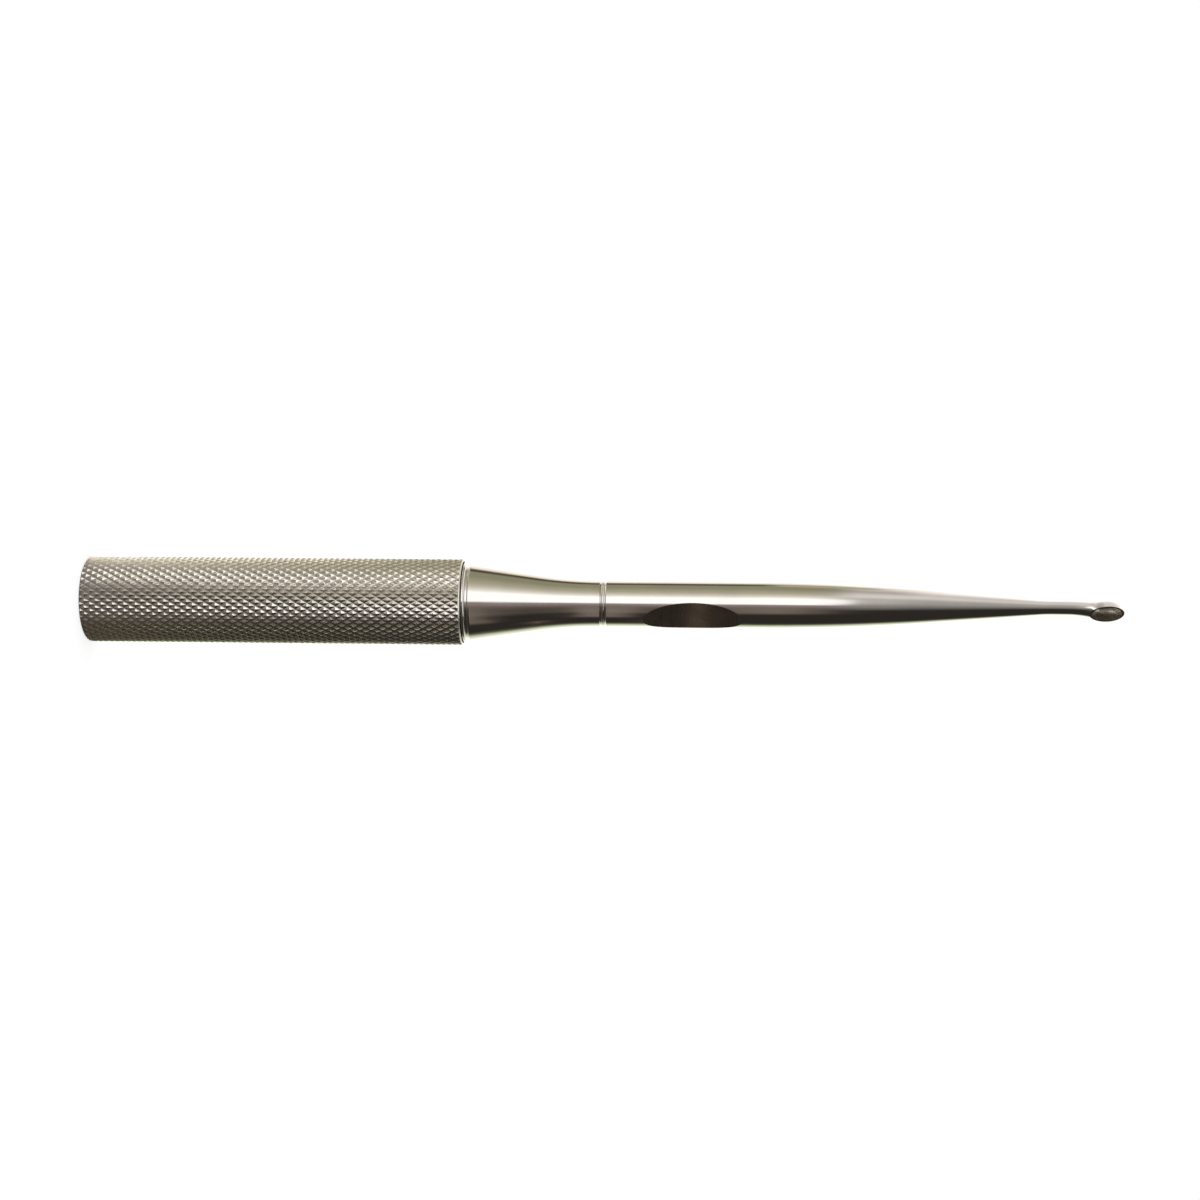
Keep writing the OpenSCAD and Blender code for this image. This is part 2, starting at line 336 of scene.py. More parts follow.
def mix_colours(tree, share, first, second):
    """Mix two colours by a share; either is a socket or plain values."""
    node = tree.nodes.new("ShaderNodeMix")
    node.data_type = "RGBA"
    tree.links.new(share, node.inputs["Factor"])
    sockets = [s for s in node.inputs if s.type == "RGBA"]
    for socket, value in zip(sockets, (first, second)):
        if isinstance(value, bpy.types.NodeSocket):
            tree.links.new(value, socket)
        else:
            socket.default_value = (*value, 1.0)
    return [s for s in node.outputs if s.type == "RGBA"][0]


class Finish:
    """One steel with its nodes on Object coordinates."""

    def __init__(self, name):
        self.material = bpy.data.materials.new(name)
        self.material.use_nodes = True
        self.tree = self.material.node_tree
        self.nodes = self.tree.nodes
        self.shader = self.nodes["Principled BSDF"]
        self.shader.inputs["Metallic"].default_value = 1.0
        self.place = self.nodes.new("ShaderNodeTexCoord").outputs["Object"]

    def join(self, output, socket):
        """Link one output to one input."""
        self.tree.links.new(output, socket)

    def feed(self, name, output):
        """Link one output to an input of the shader."""
        self.join(output, self.shader.inputs[name])

    def scaled(self, scale):
        """The place, stretched by a scale on each axis."""
        node = self.nodes.new("ShaderNodeMapping")
        node.inputs["Scale"].default_value = scale
        self.join(self.place, node.inputs["Vector"])
        return node.outputs["Vector"]

    def radius(self):
        """Distance from the axis."""
        parts = self.nodes.new("ShaderNodeSeparateXYZ")
        self.join(self.place, parts.inputs["Vector"])
        squares = [self.math("MULTIPLY", parts.outputs[axis], parts.outputs[axis])
                   for axis in ("X", "Y")]
        return self.math("SQRT", self.math("ADD", *squares))

    def noise(self, vector, scale, detail=3.0, roughness=0.5):
        """Noise value at a scale per metre."""
        node = self.nodes.new("ShaderNodeTexNoise")
        node.inputs["Scale"].default_value = scale
        node.inputs["Detail"].default_value = detail
        node.inputs["Roughness"].default_value = roughness
        self.join(vector, node.inputs["Vector"])
        return node.outputs["Fac"]

    def spread(self, value, low, high, out_low, out_high):
        """Map one range of a value to another, held at its ends."""
        node = self.nodes.new("ShaderNodeMapRange")
        node.inputs["From Min"].default_value = low
        node.inputs["From Max"].default_value = high
        node.inputs["To Min"].default_value = out_low
        node.inputs["To Max"].default_value = out_high
        self.join(value, node.inputs["Value"])
        return node.outputs["Result"]

    def math(self, operation, first, second=None):
        """One Math node in this material."""
        return math_node(self.tree, operation, first, second)

    def clouded(self, clouds, base, share):
        """Colour the steel, darker by a share where there are clouds."""
        darker = tuple(channel * share for channel in base)
        self.feed("Base Color", mix_colours(
            self.tree, self.spread(clouds, 0.3, 0.7, 0.0, 1.0), base, darker))

    def bump(self, height, distance, strength=1.0, normal=None):
        """A bump from a height, after any normal already given."""
        node = self.nodes.new("ShaderNodeBump")
        node.inputs["Distance"].default_value = distance
        node.inputs["Strength"].default_value = strength
        self.join(height, node.inputs["Height"])
        if normal:
            self.join(normal, node.inputs["Normal"])
        return node.outputs["Normal"]


def polished_steel(name, base, roughness):
    """Mirror polished steel with faint turning lines, wipe marks and a slight haze."""
    steel = Finish(name)
    wipes = steel.noise(steel.scaled((420, 420, 60)), 1.0, 5, 0.65)
    lines = steel.noise(steel.scaled((8, 8, 9000)), 1.0, 2, 0.5)
    steel.clouded(steel.noise(steel.place, 90, 4, 0.6), base, 0.9)
    steel.feed("Roughness", steel.math(
        "ADD", steel.spread(wipes, 0.35, 0.7, roughness * 0.75, roughness * 1.5),
        steel.spread(lines, 0.4, 0.7, 0.0, roughness * 0.35)))
    turned = steel.bump(lines, 0.0005 * MM, 0.5)
    waves = steel.noise(steel.place, 160, 2, 0.5)
    steel.feed("Normal", steel.bump(waves, 0.012 * MM, 0.5, turned))
    return steel.material


def ground_steel(name, base, roughness):
    """Satin steel with the fine lines that a grinding belt leaves round the shaft."""
    steel = Finish(name)
    lines = steel.noise(steel.scaled((60, 900, 14000)), 1.0, 4, 0.6)
    steel.clouded(steel.noise(steel.place, 260, 4, 0.6), base, 0.72)
    steel.feed("Roughness", steel.spread(lines, 0.3, 0.75, roughness * 0.8, roughness * 1.25))
    steel.feed("Normal", steel.bump(lines, 0.004 * MM, 0.6))
    return steel.material


def knurled_steel(name, crest, valley, roughness, valley_r, crest_r):
    """Satin steel, rougher in the valleys; its colour is bright on the crests and darkened towards
    the valleys as painted shade.
    """
    steel = Finish(name)
    grime = steel.noise(steel.place, 420, 4, 0.6)
    climb = steel.math("ADD", steel.spread(steel.radius(), valley_r, crest_r, 0.0, 1.0),
                       steel.spread(grime, 0.3, 0.7, -0.2, 0.2))
    # Painted shade: the colour runs from the crest colour down to the darker valley colour by radius.
    steel.feed("Base Color", mix_colours(
        steel.tree, steel.spread(climb, 0.12, 0.62, 0.0, 1.0), valley, crest))
    grain = steel.noise(steel.place, 5200, 3, 0.6)
    steel.feed("Roughness", steel.math(
        "ADD", steel.spread(climb, 0.1, 0.9, roughness * 1.5, roughness * 0.85),
        steel.spread(grain, 0.3, 0.7, -0.04, 0.05)))
    steel.feed("Normal", steel.bump(grain, 0.006 * MM, 0.55))
    return steel.material


def turned_steel(name, base, roughness):
    """Faced steel with fine rings round the axis."""
    steel = Finish(name)
    ring_gap = 0.12 * MM
    rings = steel.math("SINE", steel.math("MULTIPLY", steel.radius(), math.tau / ring_gap))
    steel.feed("Roughness", steel.spread(rings, -1, 1, roughness * 0.85, roughness * 1.2))
    steel.clouded(steel.noise(steel.place, 200, 4, 0.6), base, 0.82)
    steel.feed("Normal", steel.bump(rings, 0.002 * MM, 0.7))
    return steel.material


def give(obj, material):
    """Give an object one more material slot."""
    obj.data.materials.append(material)


def hand_over(obj, slot, *nodes):
    """Attach a finished piece to the root body and hide the CAD nodes that it is drawn in place of.
    """
    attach(obj, "root")
    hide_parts(*nodes)


# Knurled tube and end cap

def knurl_diamond(width, height, deep):
    """One raised diamond that faces -Y: a blunt pyramid with plain sides."""
    put_down_all()
    bpy.ops.mesh.primitive_circle_add(vertices=4, radius=1.0, fill_type="NGON",
                                      rotation=(math.pi / 2, 0, 0))
    obj = settle("knurled_tube")
    bpy.ops.object.mode_set(mode="EDIT")
    bpy.ops.mesh.select_mode(type="FACE")
    bpy.ops.mesh.select_all(action="SELECT")
    bpy.ops.transform.resize(value=(width / 2, 1, height / 2), center_override=(0, 0, 0))
    # Share of the diamond's size and of its height at each step from the valley to the crest
    climb = ((0.95, 0.02), (0.3, 0.78), (0.13, 0.95), (0.05, 1.0))
    size, level = 1.0, 0.0
    for next_size, next_level in climb:
        bpy.ops.mesh.extrude_region_move(
            TRANSFORM_OT_translate={"value": (0, -(next_level - level) * deep, 0)})
        share = next_size / size
        bpy.ops.transform.resize(value=(share, 1, share), center_override=(0, 0, 0))
        size, level = next_size, next_level
    mesh = bmesh.from_edit_mesh(obj.data)
    bpy.ops.mesh.select_mode(type="FACE")
    for face in mesh.faces:
        face.select = all(abs(vert.co.y) < NOUGHT for vert in face.verts)
    bmesh.update_edit_mesh(obj.data)
    bpy.ops.mesh.delete(type="ONLY_FACE")
    bpy.ops.object.mode_set(mode="OBJECT")
    return obj


def repeat(obj, count, step):
    """Array an object a number of times along one step."""
    modifier = obj.modifiers.new("repeat", "ARRAY")
    modifier.count = count
    modifier.use_relative_offset = False
    modifier.use_constant_offset = True
    modifier.constant_offset_displace = step


def bend_round(obj, radius):
    """Bend a flat sheet that faces -Y into a tube round the Z axis."""
    width = obj.dimensions.x
    modifier = obj.modifiers.new("bend", "SIMPLE_DEFORM")
    modifier.deform_method = "BEND"
    modifier.deform_axis = "Z"
    modifier.angle = width / radius
    apply_all(obj)
    open_mesh(obj)
    bpy.ops.mesh.select_all(action="SELECT")
    bpy.ops.transform.translate(value=(0, -radius, 0))
    bpy.ops.mesh.remove_doubles(threshold=0.003 * MM)


def face_end(obj, z, inward, bore_r, bevel):
    """Bevel one end of the knurled skin and face it down to the bore."""
    edge_z = z + inward * bevel
    bpy.ops.mesh.select_all(action="SELECT")
    bpy.ops.mesh.bisect(plane_co=(0, 0, edge_z), plane_no=(0, 0, inward), clear_inner=True)
    select_points(obj, lambda co: abs(co.z - edge_z) < NEAR)
    # The turned edge runs through the middle of the knurl's depth
    bpy.ops.mesh.extrude_region_move(TRANSFORM_OT_translate={"value": (0, 0, 0)})
    bpy.ops.transform.tosphere(value=1.0)
    bpy.ops.mesh.extrude_region_move(TRANSFORM_OT_translate={"value": (0, 0, z - edge_z)})
    rim_r = TUBE_HIGH.x
    shrink = (rim_r - bevel) / rim_r
    bpy.ops.transform.resize(value=(shrink, shrink, 1), center_override=(0, 0, z))
    bpy.ops.mesh.select_all(action="DESELECT")
    bpy.ops.mesh.primitive_circle_add(vertices=FACED_SIDES, radius=bore_r, location=(0, 0, z))
    select_points(obj, lambda co: abs(co.z - z) < NEAR)
    bpy.ops.mesh.bridge_edge_loops()


class MakeHandle(bpy.types.Operator):
    """Roll the knurl, bend it round and face both ends of the tube."""

    bl_idname = "curette.make_handle"
    bl_label = "Make Handle"

    def execute(self, context):
        size = context.scene.curette_handle
        valley_r = size.crest_r - size.knurl_deep
        width = math.tau * valley_r / size.starts
        height = (size.tube_len - 2 * size.bevel) / size.rows
        obj = knurl_diamond(width, height, size.knurl_deep)
        repeat(obj, 2, (width / 2, 0, height / 2))
        repeat(obj, size.starts, (width, 0, 0))
        repeat(obj, size.rows + 1, (0, 0, height))
        apply_all(obj)
        open_mesh(obj)
        bpy.ops.mesh.select_all(action="SELECT")
        bpy.ops.mesh.remove_doubles(threshold=0.001 * MM)
        bpy.ops.object.mode_set(mode="OBJECT")
        bend_round(obj, valley_r)
        face_end(obj, 0.0, 1, size.bore_r, size.bevel)
        face_end(obj, size.tube_len, -1, size.bore_r, size.bevel)
        select_points(obj, lambda co: math.hypot(co.x, co.y) < size.bore_r + NEAR)
        bpy.ops.mesh.bridge_edge_loops()
        close_mesh(obj)
        give(obj, knurled_steel("Knurled Steel", size.crest_colour, size.valley_shade_colour,
                                size.roughness, valley_r, size.crest_r))
        smooth(obj, 24)
        hand_over(obj, "knurled_steel", "handle_tube")
        return {"FINISHED"}


class MakeEndCap(bpy.types.Operator):
    """Turn the disc that closes the butt of the handle."""

    bl_idname = "curette.make_end_cap"
    bl_label = "Make End Cap"

    def execute(self, context):
        size = context.scene.curette_handle
        chamfer = 0.12 * MM
        outline = [(0, 0), (size.cap_r - chamfer, 0), (size.cap_r, chamfer),
                   (size.cap_r, size.cap_thick), (0, size.cap_thick)]
        obj = turn("butt_cap", outline, FACED_SIDES)
        close_mesh(obj)
        give(obj, turned_steel("Turned Steel", base=(0.64, 0.62, 0.59), roughness=0.22))
        smooth(obj, 20)
        hand_over(obj, "turned_steel", "end_cap")
        return {"FINISHED"}


# Turned nose

def nose_outline(size):
    """Outline of the nose from its bore round the outside and back."""
    spigot_len = 12 * MM
    tube_z = size.spigot_z + spigot_len
    spigot_r = 9.45 * MM
    shaft_r = 6.35 * MM
    bead_round = size.bead_w / 2
    corner = 0.2 * MM
    sweep_z = size.shoulder_z - size.ring_groove_w - size.ring_w
    cone_z = tube_z + size.bead_w + size.groove_w
    drop = size.nose_r - shaft_r
    run = sweep_z - cone_z
    sweep_r = size.sweep_share * (run * run + drop * drop) / (2 * drop)
    reach = math.hypot(run, sweep_r - drop)
    cone = math.asin(sweep_r / reach) - math.atan((sweep_r - drop) / run)
    ring_z = sweep_z + size.ring_groove_w
    points = [(size.tang_r, size.spigot_z), (spigot_r - corner, size.spigot_z),
              (spigot_r, size.spigot_z + corner), (spigot_r, tube_z)]
    points += arc(size.bead_r - bead_round, tube_z + bead_round, bead_round,
                  -math.pi / 2, math.pi / 2, 16)
    points += arc(size.groove_r + corner, tube_z + size.bead_w + corner, corner,
                  math.pi * 1.5, math.pi, 4)
    points += arc(size.groove_r + corner, cone_z - corner, corner, math.pi, math.pi / 2, 4)
    points += arc(size.nose_r - corner, cone_z + corner, corner, -math.pi / 2, 0, 8)
    # A ring close to the start of the cone keeps the cone free of the corner's shading
    sweep = arc(shaft_r + sweep_r, sweep_z, sweep_r, math.pi + cone, math.pi, 48)
    points += [(lerp(size.nose_r, sweep[0][0], 0.03), lerp(cone_z + corner, sweep[0][1], 0.03))]
    points += sweep
    points += [(shaft_r - size.ring_groove_deep, sweep_z + size.ring_groove_w / 2),
               (shaft_r - size.ring_groove_deep / 2, ring_z)]
    points += arc(shaft_r - size.ring_w / 2, ring_z + size.ring_w / 2, size.ring_w / 2,
                  -math.pi / 3, math.pi / 3, 10)
    points += [(shaft_r - size.ring_groove_deep, size.shoulder_z),
               (size.tang_r, size.shoulder_z), (size.tang_r, size.spigot_z)]
    return points


class MakeNose(bpy.types.Operator):
    """Turn the nose with its bead, groove, sweep and fine ring."""

    bl_idname = "curette.make_nose"
    bl_label = "Make Nose"

    def execute(self, context):
        size = context.scene.curette_nose
        obj = turn("turned_nose", nose_outline(size), TURNED_SIDES)
        close_mesh(obj)
        give(obj, polished_steel("Polished Steel", size.steel_colour, size.roughness))
        smooth(obj, 28)
        hand_over(obj, "polished_steel", "handle_nose")
        return {"FINISHED"}


# Forged shaft

def shaft_outline(size, flare_z):
    """Outline of the shaft from the end of its tang to where the neck starts to open."""
    nose = bpy.context.scene.curette_nose
    shoulder_z = nose.shoulder_z
    corner = 0.3 * MM
    straight_end = 1.0 * MM
    drop = size.shaft_r - size.neck_r
    run = size.neck_z - size.taper_z
    swell_r = size.swell_share * (run * run + drop * drop) / (2 * drop)
    reach = math.hypot(run, swell_r - drop)
    lean = math.pi / 2 - math.atan((swell_r - drop) / run) - math.acos(swell_r / reach)
    blend = size.neck_sweep * math.tan(lean / 2)
    points = [(0, size.tang_z), (size.tang_r - corner, size.tang_z),
              (size.tang_r, size.tang_z + corner), (size.tang_r, shoulder_z),
              (size.shaft_r - nose.ring_groove_deep, shoulder_z),
              (size.shaft_r - nose.ring_groove_deep * 0.9, shoulder_z + nose.ring_groove_w * 0.3)]
    points += arc(size.shaft_r - nose.ring_groove_deep / 2,
                  shoulder_z + nose.ring_groove_w, nose.ring_groove_deep / 2,
                  -math.pi / 2, 0, 9)
    # Rings close to both ends keep the straight part free of their shading
    straight_z = shoulder_z + nose.ring_groove_w + nose.ring_groove_deep / 2
    points += [(size.shaft_r, straight_z), (size.shaft_r, size.taper_z - straight_end)]
    points += arc(size.shaft_r - swell_r, size.taper_z, swell_r, 0, lean, 36)
    points += arc(size.neck_r + size.neck_sweep, size.neck_z + blend, size.neck_sweep,
                  math.pi + lean, math.pi, 14)
    points += [(size.neck_r, flare_z)]
    return points


class CupForm:
    """Sections of the cup, by height along the shaft."""

    def __init__(self, size):
        self.size = size
        self.tip_z = CUP_HIGH.z
        self.mid_z = self.tip_z - size.cup_len / 2
        self.rim_z = self.tip_z - size.cup_len
        flare_len = 6.0 * MM
        self.flare_z = self.rim_z - flare_len
        # Depth below the rim at which the cup is widest, and how much wider it is there
        self.belly = 0.36 * size.cup_deep
        self.swell = 1.03
        # Widest level and half width of the opened neck at the rim
        self.root_mid = -0.42 * size.neck_r
        self.root_half = 1.15 * size.neck_r

    def rim_y(self, z):
        """Front of the rim at a height."""
        return (z - self.mid_z) * math.tan(self.size.rim_lean) - self.size.rim_high

    def oval(self, z, half):
        """Share of its full size that an oval has at a height."""
        return math.sqrt(max(0.0, 1 - ((z - self.mid_z) / half) ** 2))

    def neck_skin(self, z):
        """Section of the opening neck, below the rim."""
        neck_r = self.size.neck_r
        share = ((z - self.flare_z) / (self.rim_z - self.flare_z)) ** 2
        mid = lerp(0.0, self.root_mid, share)
        half = lerp(neck_r, self.root_half, share)
        front = lerp(neck_r, self.root_mid - self.rim_y(self.rim_z), share)
        return z, mid, half, neck_r - mid, front

    def cup_skin(self, z):
        """Section of the cup, above the lowest point of the rim."""
        size = self.size
        share = self.oval(z, size.cup_len / 2)
        mid = self.rim_y(z) + self.belly * share
        half = self.swell * size.cup_width / 2 * share
        back = (size.cup_deep - self.belly) * share
        if z < self.mid_z:
            root = ease((z - self.rim_z) / (self.mid_z - self.rim_z))
            mid = lerp(self.root_mid, mid, root)
            half = ((self.root_half * (1 - root)) ** 3 + half ** 3) ** (1 / 3)
            back = lerp(size.neck_r, size.cup_deep - size.rim_high, root) - mid
        ratio = size.cup_width / 2 * share / half
        front = (mid - self.rim_y(z)) / math.sqrt(1 - ratio * ratio)
        return z, mid, half, back, front

    def bowl(self, z):
        """Height, middle, half width, back and front of the hollow."""
        size = self.size
        share = self.oval(z, size.cup_len / 2 - size.cup_wall)
        deep = size.cup_deep - size.cup_wall - self.belly
        run_out = 5 * self.belly
        return (z, self.rim_y(z) + self.belly * share, (size.cup_width / 2 - size.cup_wall) * share,
                deep * share, run_out * share)


def bowl_cutter(form, sides, rings):
    """The hollow of the cup as one closed shape, run out past the rim."""
    size = form.size
    half_len = size.cup_len / 2 - size.cup_wall
    heights = []
    for i in range(rings):
        angle = math.pi * ((i + 1) / (rings + 1) - 0.5)
        heights.append(form.mid_z + half_len * math.sin(angle))
    first = form.bowl(heights[0])
    put_down_all()
    bpy.ops.mesh.primitive_circle_add(vertices=sides, radius=1.0, fill_type="NGON")
    obj = bpy.context.object
    obj.name = "bowl_cutter"
    bpy.ops.object.mode_set(mode="EDIT")
    bpy.ops.mesh.select_mode(type="VERT")
    bpy.ops.mesh.select_all(action="SELECT")
    centre = (0, first[1], first[0])
    bpy.ops.transform.translate(value=centre)
    bpy.ops.transform.resize(value=(first[2], first[3], 1), center_override=centre)
    select_points(obj, lambda co: co.y < first[1] - NOUGHT)
    bpy.ops.transform.resize(value=(1, first[4] / first[3], 1), center_override=centre)
    bpy.ops.mesh.select_all(action="SELECT")
    last = first
    for z in heights[1:]:
        this = form.bowl(z)
        ring_step(obj, last, this)
        last = this
    close_mesh(obj)
    return obj


def rim_cutter(form):
    """The block that grinds the rim; it ends where its plane has left the neck."""
    size = form.size
    long = 2 * size.cup_len
    thick = 4 * MM
    lean = size.rim_lean
    middle = -size.rim_high + size.rim_land - math.cos(lean) * thick / 2
    put_down_all()
    bpy.ops.mesh.primitive_cube_add(
        size=1.0, scale=(3 * size.cup_width, thick, long), rotation=(-lean, 0, 0),
        location=(0, middle, form.mid_z + math.sin(lean) * thick / 2))
    return settle("rim_cutter")


def wheel_cutter(size):
    """The wheel that grinds the thumb rest."""
    wheel_r = (size.rest_len ** 2 / 4 + size.rest_deep ** 2) / (2 * size.rest_deep)
    put_down_all()
    bpy.ops.mesh.primitive_cylinder_add(
        vertices=720, radius=wheel_r, depth=4 * size.shaft_r, rotation=(0, math.pi / 2, 0),
        location=(0, -(size.shaft_r - size.rest_deep + wheel_r), size.rest_z))
    return settle("wheel_cutter")


class MakeShaft(bpy.types.Operator):
    """Turn the shaft, draw out its neck into the cup, then grind the rest and the rim."""

    bl_idname = "curette.make_shaft"
    bl_label = "Make Shaft"

    def execute(self, context):
        size = context.scene.curette_shaft
        nose = context.scene.curette_nose
        form = CupForm(size)
        obj = turn("forged_shaft", shaft_outline(size, form.flare_z), TURNED_SIDES)
        select_points(obj, lambda co: co.z > form.flare_z - WELD)
        stations = 20
        sections = [form.neck_skin(lerp(form.flare_z, form.rim_z, i / stations))
                    for i in range(1, stations + 1)]
        sections += [form.cup_skin(lerp(form.rim_z, form.mid_z, i / stations))
                     for i in range(1, stations + 1)]
        sections += [form.cup_skin(form.mid_z + size.cup_len / 2 * math.sin(
            math.pi / 2 * i / stations)) for i in range(1, stations)]
        last = form.neck_skin(form.flare_z)
        for this in sections:
            ring_step(obj, last, this)
            last = this
        bpy.ops.mesh.extrude_region_move(
            TRANSFORM_OT_translate={"value": (0, 0, form.tip_z - last[0])})
        bpy.ops.mesh.merge(type="CENTER")
        close_mesh(obj)
        polished = polished_steel("Polished Shaft Steel", nose.steel_colour, nose.roughness)
        give(obj, polished)
        block = rim_cutter(form)
        give(block, polished)
        cut(obj, block)
        bowl = bowl_cutter(form, sides=96, rings=32)
        give(bowl, polished_steel("Milled Bowl Steel", size.bowl_colour, size.bowl_roughness))
        cut(obj, bowl)
        wheel = wheel_cutter(size)
        give(wheel, ground_steel("Ground Steel", size.ground_colour, size.ground_roughness))
        cut(obj, wheel)
        # The rest meets the shaft at 17 degrees at its ends, and that edge is crisp
        smooth(obj, 14)
        hand_over(obj, "polished_steel", "curette_shaft", "curette_cup")
        return {"FINISHED"}


# Stage

# Colours of the tent's cloth
LAMP = (0.92, 0.91, 0.9)
LAMP_RIM = (0.64, 0.63, 0.57)
LAMP_EDGE = (0.43, 0.415, 0.35)
WALL = (0.33, 0.3, 0.23)
WALL_SHADE = (0.2, 0.2, 0.13)
RAIL = (0.06, 0.047, 0.033)
CREAM = (0.72, 0.66, 0.54)
PAPER = (0.86, 0.86, 0.84)
BLUSH = (0.19, 0.15, 0.148)
DUSK = (0.05, 0.045, 0.04)
DARK = (0.02, 0.017, 0.015)
MOSS = (0.07, 0.078, 0.035)
SAGE = (0.5, 0.54, 0.42)
BENCH = (0.16, 0.132, 0.112)
BROWN = (0.15, 0.115, 0.09)
SAND = (0.5, 0.485, 0.43)
UMBER = (0.07, 0.06, 0.045)
# Colour by turn from the camera's side, in degrees towards the picture's top; first the front
FRONT = ((-180, PAPER), (-155, PAPER), (-128, SAGE), (-112, MOSS), (-102, DARK), (-28, DARK))


def stone(level):
    """A warm grey."""
    return level, level * 0.95, level * 0.91


FACING_BANDS = FRONT + (
    (-18, DUSK), (-8, BLUSH), (-1, BLUSH), (4, LAMP), (30, LAMP), (38, LAMP_RIM), (49, LAMP_EDGE),
    (60, WALL), (84, WALL_SHADE), (102, WALL_SHADE), (106, RAIL), (115, RAIL), (124, CREAM),
    (145, PAPER), (180, PAPER))
RAISED_BANDS = FRONT + (
    (-18, stone(0.09)), (-8, stone(0.17)), (2, stone(0.21)), (12, stone(0.3)), (20, stone(0.36)),
    (38, stone(0.38)), (49, stone(0.54)), (60, stone(0.55)), (71, stone(0.43)), (83, stone(0.33)),
    (97, stone(0.42)), (112, stone(0.62)), (128, CREAM), (145, PAPER), (180, PAPER))
TOP_BANDS = FRONT + (
    (-18, stone(0.06)), (-8, stone(0.13)), (2, stone(0.19)), (12, stone(0.25)), (38, stone(0.33)),
    (49, stone(0.46)), (60, stone(0.55)), (72, stone(0.5)),
    (84, stone(0.5)), (97, stone(0.6)), (112, stone(0.8)), (128, PAPER), (180, PAPER))
MAT_BANDS = (
    (-180, PAPER), (-150, SAND), (-110, MOSS), (-92, UMBER), (-35, UMBER), (-5, stone(0.13)),
    (45, stone(0.17)), (68, stone(0.34)), (85, CREAM), (120, PAPER), (180, PAPER))
# Patches on the cloth: colour, then share by height in metres and by turn in degrees
PATCHES = (
    (BENCH, ((0.12, 0), (0.127, 0.85), (0.137, 0.85), (0.1425, 0)),
     ((-74, 0), (-64, 1), (-34, 1), (-26, 0))),
    (BENCH, ((0.12, 0), (0.127, 0.95), (0.137, 0.95), (0.143, 0.6), (0.149, 0.3), (0.166, 0.2),
             (0.181, 0.8), (0.2, 0.8), (0.214, 0.55), (0.232, 0.1), (0.25, 0)),
     ((-50, 0), (-38, 1), (-17, 1), (-10, 0))),
    (BROWN, ((0.147, 0), (0.152, 1), (0.161, 1), (0.166, 0)),
     ((-108, 0), (-98, 1), (-86, 1), (-78, 0))),
    (WALL, ((0.19, 0), (0.199, 1), (0.24, 1), (0.25, 0)),
     ((98, 0), (104, 1), (116, 1), (122, 0))),
    (LAMP, ((0.2, 0), (0.214, 1), (0.233, 1), (0.2405, 0)),
     ((5, 0), (13, 1), (25, 1), (34, 0))),
    (WALL, ((0.0, 1), (0.085, 1), (0.105, 0)),
     ((80, 0), (90, 1), (120, 1), (130, 0))),
)


def ramp(tree, value, stops, low, high):
    """A colour ramp over a range, with its stops given in the range's own unit."""
    node = tree.nodes.new("ShaderNodeValToRGB")
    spread = tree.nodes.new("ShaderNodeMapRange")
    spread.inputs["From Min"].default_value = low
    spread.inputs["From Max"].default_value = high
    tree.links.new(value, spread.inputs["Value"])
    tree.links.new(spread.outputs["Result"], node.inputs["Fac"])
    elements = node.color_ramp.elements
    while len(elements) > 1:
        elements.remove(elements[-1])
    for i, (place, shade) in enumerate(stops):
        share = (place - low) / (high - low)
        if i == 0:
            elements[0].position = share
        else:
            elements.new(share)
        elements[i].color = (*shade, 1.0)
    return node.outputs["Color"]


def cloth_place(tree, look):
    """Turn from the camera's side in degrees, and height, of each place on the cloth."""
    place = tree.nodes.new("ShaderNodeTexCoord").outputs["Object"]
    facing = tree.nodes.new("ShaderNodeMapping")
    facing.inputs["Rotation"].default_value = (0, 0, math.pi / 2 - look.view_azimuth)
    tree.links.new(place, facing.inputs["Vector"])
    parts = tree.nodes.new("ShaderNodeSeparateXYZ")
    tree.links.new(facing.outputs["Vector"], parts.inputs["Vector"])
    flipped = math_node(tree, "MULTIPLY", parts.outputs["Y"], -1.0)
    turned = math_node(tree, "ARCTAN2", flipped, parts.outputs["X"])
    return math_node(tree, "DEGREES", turned), parts.outputs["Z"]


def shares(stops):
    """Stops of a share from nought to one, as greys."""
    return [(place, (share, share, share)) for place, share in stops]


def shining(name, look):
    """An empty material, and what gives it its shine."""
    material = bpy.data.materials.new(name)
    material.use_nodes = True
    tree = material.node_tree
    tree.nodes.clear()
    emission = tree.nodes.new("ShaderNodeEmission")
    emission.inputs["Strength"].default_value = look.tent_level
    output = tree.nodes.new("ShaderNodeOutputMaterial")
    tree.links.new(emission.outputs["Emission"], output.inputs["Surface"])
    return material, tree, emission.inputs["Color"]


def tent_cloth(look):
    """Light tent that shines with soft bands: a lamp, walls, a dark rail and the open front."""
    material, tree, shown = shining("Tent Cloth", look)
    angle, height = cloth_place(tree, look)
    walls = ramp(tree, angle, FACING_BANDS, -180, 180)
    for bands, start, end in ((RAISED_BANDS, 0.222, 0.24), (TOP_BANDS, 0.256, 0.274)):
        above = ramp(tree, height, shares(((start, 0), (end, 1))), 0.0, look.tent_high)
        walls = mix_colours(tree, above, walls, ramp(tree, angle, bands, -180, 180))
    for shade, heights, turns in PATCHES:
        share = math_node(tree, "MULTIPLY",
                          ramp(tree, height, shares(heights), 0.0, look.tent_high),
                          ramp(tree, angle, shares(turns), -180, 180))
        walls = mix_colours(tree, share, walls, shade)
    tree.links.new(walls, shown)
    return material


def mat_cloth(look):
    """The dull mat that the knurl shows from below."""
    material, tree, shown = shining("Mat Cloth", look)
    angle = cloth_place(tree, look)[0]
    tree.links.new(ramp(tree, angle, MAT_BANDS, -180, 180), shown)
    return material


def shown_white(tree):
    """One where a ray comes from the camera, a reflection or through glass."""
    paths = tree.nodes.new("ShaderNodeLightPath")
    total = paths.outputs["Is Camera Ray"]
    for name in ("Is Glossy Ray", "Is Transmission Ray"):
        total = math_node(tree, "MAXIMUM", total, paths.outputs[name])
    return total


